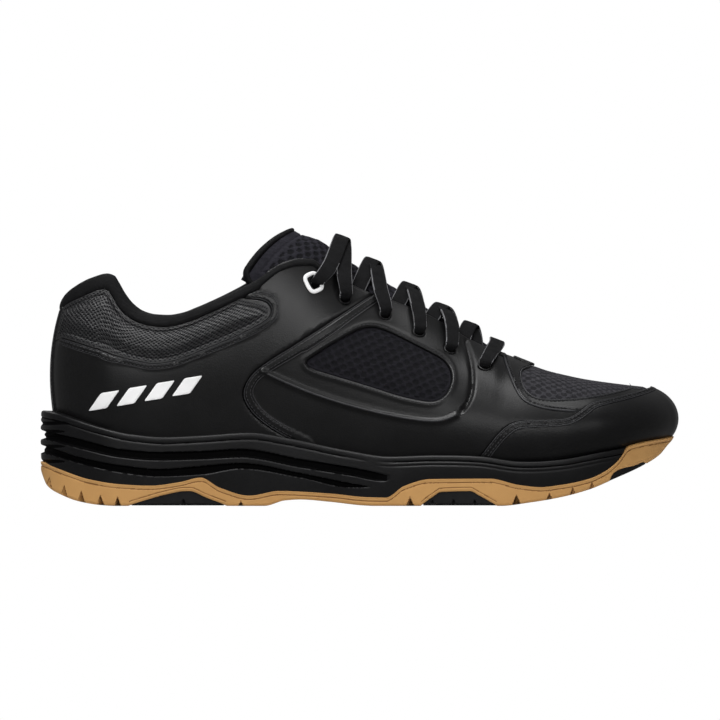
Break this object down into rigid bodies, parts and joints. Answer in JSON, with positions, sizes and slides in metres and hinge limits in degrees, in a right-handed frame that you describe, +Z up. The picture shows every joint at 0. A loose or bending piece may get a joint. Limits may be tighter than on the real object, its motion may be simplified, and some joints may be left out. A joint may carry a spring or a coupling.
{
  "type": "court shoe",
  "caption": "Low-cut indoor court shoe for the right foot: padded collar, mesh windows, laced throat with a hinged tongue, and a gum rubber sole that flexes at the ball of the foot.",
  "frame": {"origin": "middle of the bounding box in plan, on the ground under the sole", "axes": "+X towards the toe, +Y towards the medial (inner) side, +Z up"},
  "size_m": [0.299, 0.1039, 0.1311],
  "materials": {
    "black_synthetic": "satin",
    "gum_rubber": "matt",
    "black_rubber": "matt",
    "midsole_foam": "matt",
    "mesh_textile": "matt",
    "stiffener_board": "matt",
    "lining_textile": "matt",
    "padding_foam": "matt",
    "lace_textile": "matt",
    "clear_plastic": "gloss",
    "white_plastic": "satin"
  },
  "bodies": {
    "rearfoot": {"outsole_heel": "gum_rubber", "outsole_insert_heel": "black_rubber", "outsole_insert_forefoot": "black_rubber", "midsole_heel": "midsole_foam", "strobel_board": "stiffener_board", "insole": "lining_textile", "heel_counter": "stiffener_board", "collar_foam": "padding_foam", "collar_binding": "black_synthetic", "lining": "lining_textile", "back_stay": "black_synthetic", "heel_panel_lateral": "black_synthetic", "heel_panel_medial": "black_synthetic", "collar_mesh_lateral": "mesh_textile", "collar_mesh_medial": "mesh_textile", "quarter_panel_lateral": "black_synthetic", "quarter_panel_medial": "black_synthetic", "side_mesh_lateral": "mesh_textile", "side_mesh_medial": "mesh_textile", "eyelet_backing_lateral": "stiffener_board", "eyelet_backing_medial": "stiffener_board", "top_eyelet_ring_lateral": "white_plastic", "top_eyelet_ring_medial": "white_plastic", "lace": "lace_textile", "aglet_lateral": "clear_plastic", "aglet_medial": "clear_plastic"},
    "forefoot": {"outsole_forefoot": "gum_rubber", "outsole_insert_toe": "black_rubber", "midsole_forefoot": "midsole_foam", "toe_cap": "black_synthetic", "toe_puff": "stiffener_board", "vamp_mesh": "mesh_textile", "vamp_overlay": "black_synthetic"},
    "tongue": {"tongue_face": "mesh_textile", "tongue_foam": "padding_foam", "tongue_lining": "lining_textile", "tongue_binding": "black_synthetic"}
  },
  "joints": [
    {"name": "forefoot_flex", "type": "hinge", "parent": "rearfoot", "child": "forefoot", "pos_m": [0.0658, 0, 0.024], "axis": [0, -1, 0], "range_deg": [0, 25], "stiffness_Nm_per_rad": 8, "deforming": ["vamp_overlay", "vamp_mesh", "toe_cap", "quarter_panel_lateral", "quarter_panel_medial", "lining", "insole", "strobel_board"]},
    {"name": "tongue_swing", "type": "hinge", "parent": "rearfoot", "child": "tongue", "pos_m": [0.07, 0, 0.062], "axis": [0, -1, 0], "range_deg": [0, 8], "stiffness_Nm_per_rad": 0.6, "springref_deg": -3.44}
  ]
}
